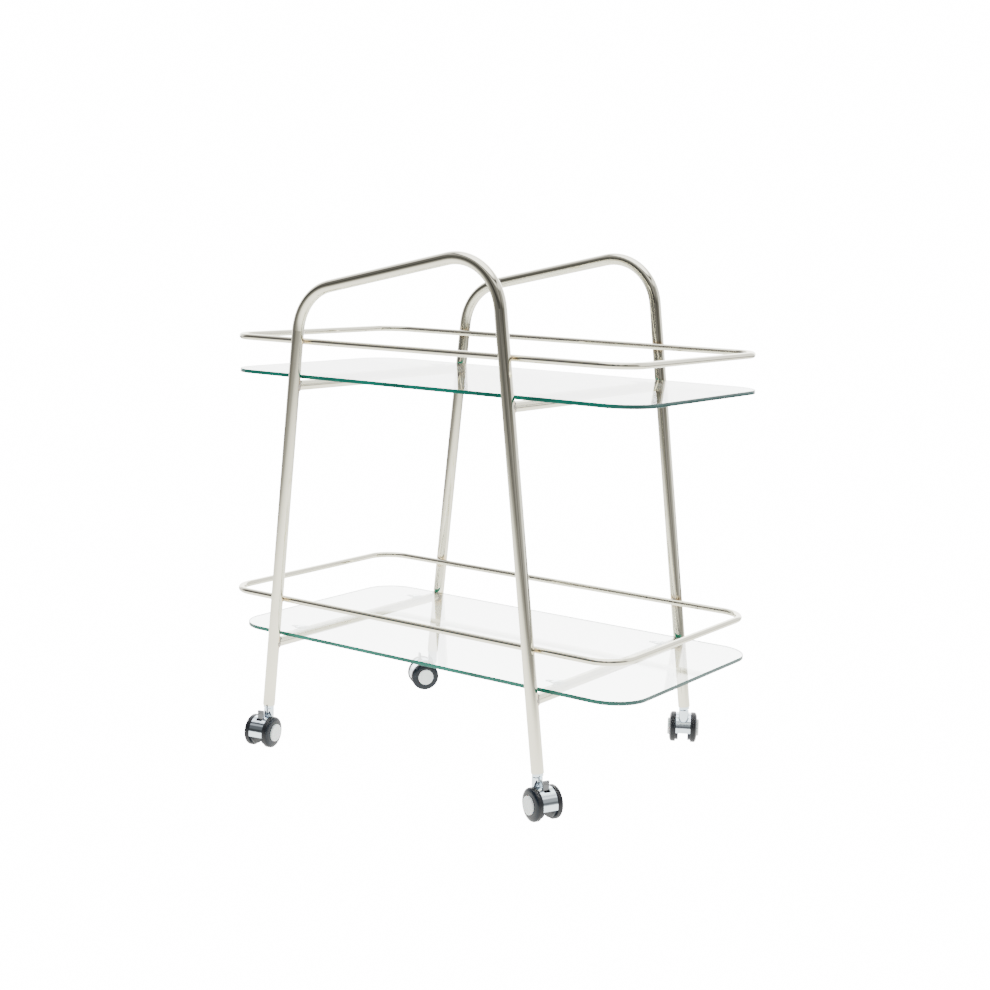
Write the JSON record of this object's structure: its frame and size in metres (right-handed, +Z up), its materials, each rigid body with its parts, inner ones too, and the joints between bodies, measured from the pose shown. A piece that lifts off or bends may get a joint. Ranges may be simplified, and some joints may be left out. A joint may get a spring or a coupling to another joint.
{
  "type": "two-shelf glass trolley",
  "caption": "Rolling spa trolley with bent stainless tube sides, sloping handles, glass shelves inside gallery rails, and braked twin-wheel casters.",
  "frame": {"origin": "on the floor under the middle of the trolley", "axes": "+X along the shelves towards the high end of the handles, +Y from the front hoop to the rear hoop, +Z up"},
  "size_m": [0.777, 0.5286, 0.8073],
  "materials": {
    "polished_stainless": "polished",
    "weld_metal": "rippled weld, brushed down",
    "clear_glass": "clear float glass with ground green edges",
    "clear_vinyl": "clear soft vinyl",
    "bright_chrome": "bright plated",
    "lever_chrome": "satin plated",
    "pin_steel": "ground",
    "wheel_nylon": "semi-gloss moulded, grained tread",
    "cap_plastic": "smooth"
  },
  "bodies": {
    "frame": {"crossbar_welds": "weld_metal", "front_hoop": "polished_stainless", "lower_gallery_rail": "polished_stainless", "lower_glass_shelf": "clear_glass", "lower_left_crossbar": "polished_stainless", "lower_right_crossbar": "polished_stainless", "lower_suction_cups": "clear_vinyl", "rail_welds": "weld_metal", "rear_hoop": "polished_stainless", "upper_gallery_rail": "polished_stainless", "upper_glass_shelf": "clear_glass", "upper_left_crossbar": "polished_stainless", "upper_right_crossbar": "polished_stainless", "upper_suction_cups": "clear_vinyl", "front_right_leg_plug": "bright_chrome", "front_right_stem": "pin_steel", "front_left_leg_plug": "bright_chrome", "front_left_stem": "pin_steel", "rear_left_leg_plug": "bright_chrome", "rear_left_stem": "pin_steel", "rear_right_leg_plug": "bright_chrome", "rear_right_stem": "pin_steel"},
    "front_right_caster": {"front_right_hood": "bright_chrome", "front_right_axle": "pin_steel", "front_right_lever_pin": "pin_steel"},
    "front_right_left_roller": {"front_right_left_wheel": "wheel_nylon", "front_right_left_hub_cap": "cap_plastic"},
    "front_right_right_roller": {"front_right_right_wheel": "wheel_nylon", "front_right_right_hub_cap": "cap_plastic"},
    "front_right_brake": {"front_right_brake_lever": "lever_chrome"},
    "front_left_caster": {"front_left_hood": "bright_chrome", "front_left_axle": "pin_steel", "front_left_lever_pin": "pin_steel"},
    "front_left_left_roller": {"front_left_left_wheel": "wheel_nylon", "front_left_left_hub_cap": "cap_plastic"},
    "front_left_right_roller": {"front_left_right_wheel": "wheel_nylon", "front_left_right_hub_cap": "cap_plastic"},
    "front_left_brake": {"front_left_brake_lever": "lever_chrome"},
    "rear_left_caster": {"rear_left_hood": "bright_chrome", "rear_left_axle": "pin_steel", "rear_left_lever_pin": "pin_steel"},
    "rear_left_left_roller": {"rear_left_left_wheel": "wheel_nylon", "rear_left_left_hub_cap": "cap_plastic"},
    "rear_left_right_roller": {"rear_left_right_wheel": "wheel_nylon", "rear_left_right_hub_cap": "cap_plastic"},
    "rear_left_brake": {"rear_left_brake_lever": "lever_chrome"},
    "rear_right_caster": {"rear_right_hood": "bright_chrome", "rear_right_axle": "pin_steel", "rear_right_lever_pin": "pin_steel"},
    "rear_right_left_roller": {"rear_right_left_wheel": "wheel_nylon", "rear_right_left_hub_cap": "cap_plastic"},
    "rear_right_right_roller": {"rear_right_right_wheel": "wheel_nylon", "rear_right_right_hub_cap": "cap_plastic"},
    "rear_right_brake": {"rear_right_brake_lever": "lever_chrome"}
  },
  "joints": [
    {"name": "front_right_swivel", "type": "hinge", "parent": "frame", "child": "front_right_caster", "pos_m": [0.2575, -0.219, 0.045], "axis": [0, 0, 1], "continuous": true},
    {"name": "front_right_left_wheel_spin", "type": "hinge", "parent": "front_right_caster", "child": "front_right_left_roller", "pos_m": [0.27284, -0.22632, 0.025], "axis": [0.4305, 0.9026, 0], "continuous": true},
    {"name": "front_right_right_wheel_spin", "type": "hinge", "parent": "front_right_caster", "child": "front_right_right_roller", "pos_m": [0.27284, -0.22632, 0.025], "axis": [0.4305, 0.9026, 0], "continuous": true},
    {"name": "front_right_brake_tilt", "type": "hinge", "parent": "front_right_caster", "child": "front_right_brake", "pos_m": [0.27916, -0.22933, 0.04], "axis": [0.4305, 0.9026, 0], "range_deg": [0, 20]},
    {"name": "front_left_swivel", "type": "hinge", "parent": "frame", "child": "front_left_caster", "pos_m": [-0.271, -0.219, 0.045], "axis": [0, 0, 1], "continuous": true},
    {"name": "front_left_left_wheel_spin", "type": "hinge", "parent": "front_left_caster", "child": "front_left_left_roller", "pos_m": [-0.2679, -0.23572, 0.025], "axis": [0.9833, 0.1822, 0], "continuous": true},
    {"name": "front_left_right_wheel_spin", "type": "hinge", "parent": "front_left_caster", "child": "front_left_right_roller", "pos_m": [-0.2679, -0.23572, 0.025], "axis": [0.9833, 0.1822, 0], "continuous": true},
    {"name": "front_left_brake_tilt", "type": "hinge", "parent": "front_left_caster", "child": "front_left_brake", "pos_m": [-0.26663, -0.2426, 0.04], "axis": [0.9833, 0.1822, 0], "range_deg": [0, 20]},
    {"name": "rear_left_swivel", "type": "hinge", "parent": "frame", "child": "rear_left_caster", "pos_m": [-0.271, 0.219, 0.045], "axis": [0, 0, 1], "continuous": true},
    {"name": "rear_left_left_wheel_spin", "type": "hinge", "parent": "rear_left_caster", "child": "rear_left_left_roller", "pos_m": [-0.28193, 0.20598, 0.025], "axis": [0.766, -0.6428, 0], "continuous": true},
    {"name": "rear_left_right_wheel_spin", "type": "hinge", "parent": "rear_left_caster", "child": "rear_left_right_roller", "pos_m": [-0.28193, 0.20598, 0.025], "axis": [0.766, -0.6428, 0], "continuous": true},
    {"name": "rear_left_brake_tilt", "type": "hinge", "parent": "rear_left_caster", "child": "rear_left_brake", "pos_m": [-0.28643, 0.20061, 0.04], "axis": [0.766, -0.6428, 0], "range_deg": [0, 20]},
    {"name": "rear_right_swivel", "type": "hinge", "parent": "frame", "child": "rear_right_caster", "pos_m": [0.2575, 0.219, 0.045], "axis": [0, 0, 1], "continuous": true},
    {"name": "rear_right_left_wheel_spin", "type": "hinge", "parent": "rear_right_caster", "child": "rear_right_left_roller", "pos_m": [0.24939, 0.23394, 0.025], "axis": [-0.8788, -0.4772, 0], "continuous": true},
    {"name": "rear_right_right_wheel_spin", "type": "hinge", "parent": "rear_right_caster", "child": "rear_right_right_roller", "pos_m": [0.24939, 0.23394, 0.025], "axis": [-0.8788, -0.4772, 0], "continuous": true},
    {"name": "rear_right_brake_tilt", "type": "hinge", "parent": "rear_right_caster", "child": "rear_right_brake", "pos_m": [0.24605, 0.24009, 0.04], "axis": [-0.8788, -0.4772, 0], "range_deg": [0, 20]}
  ]
}
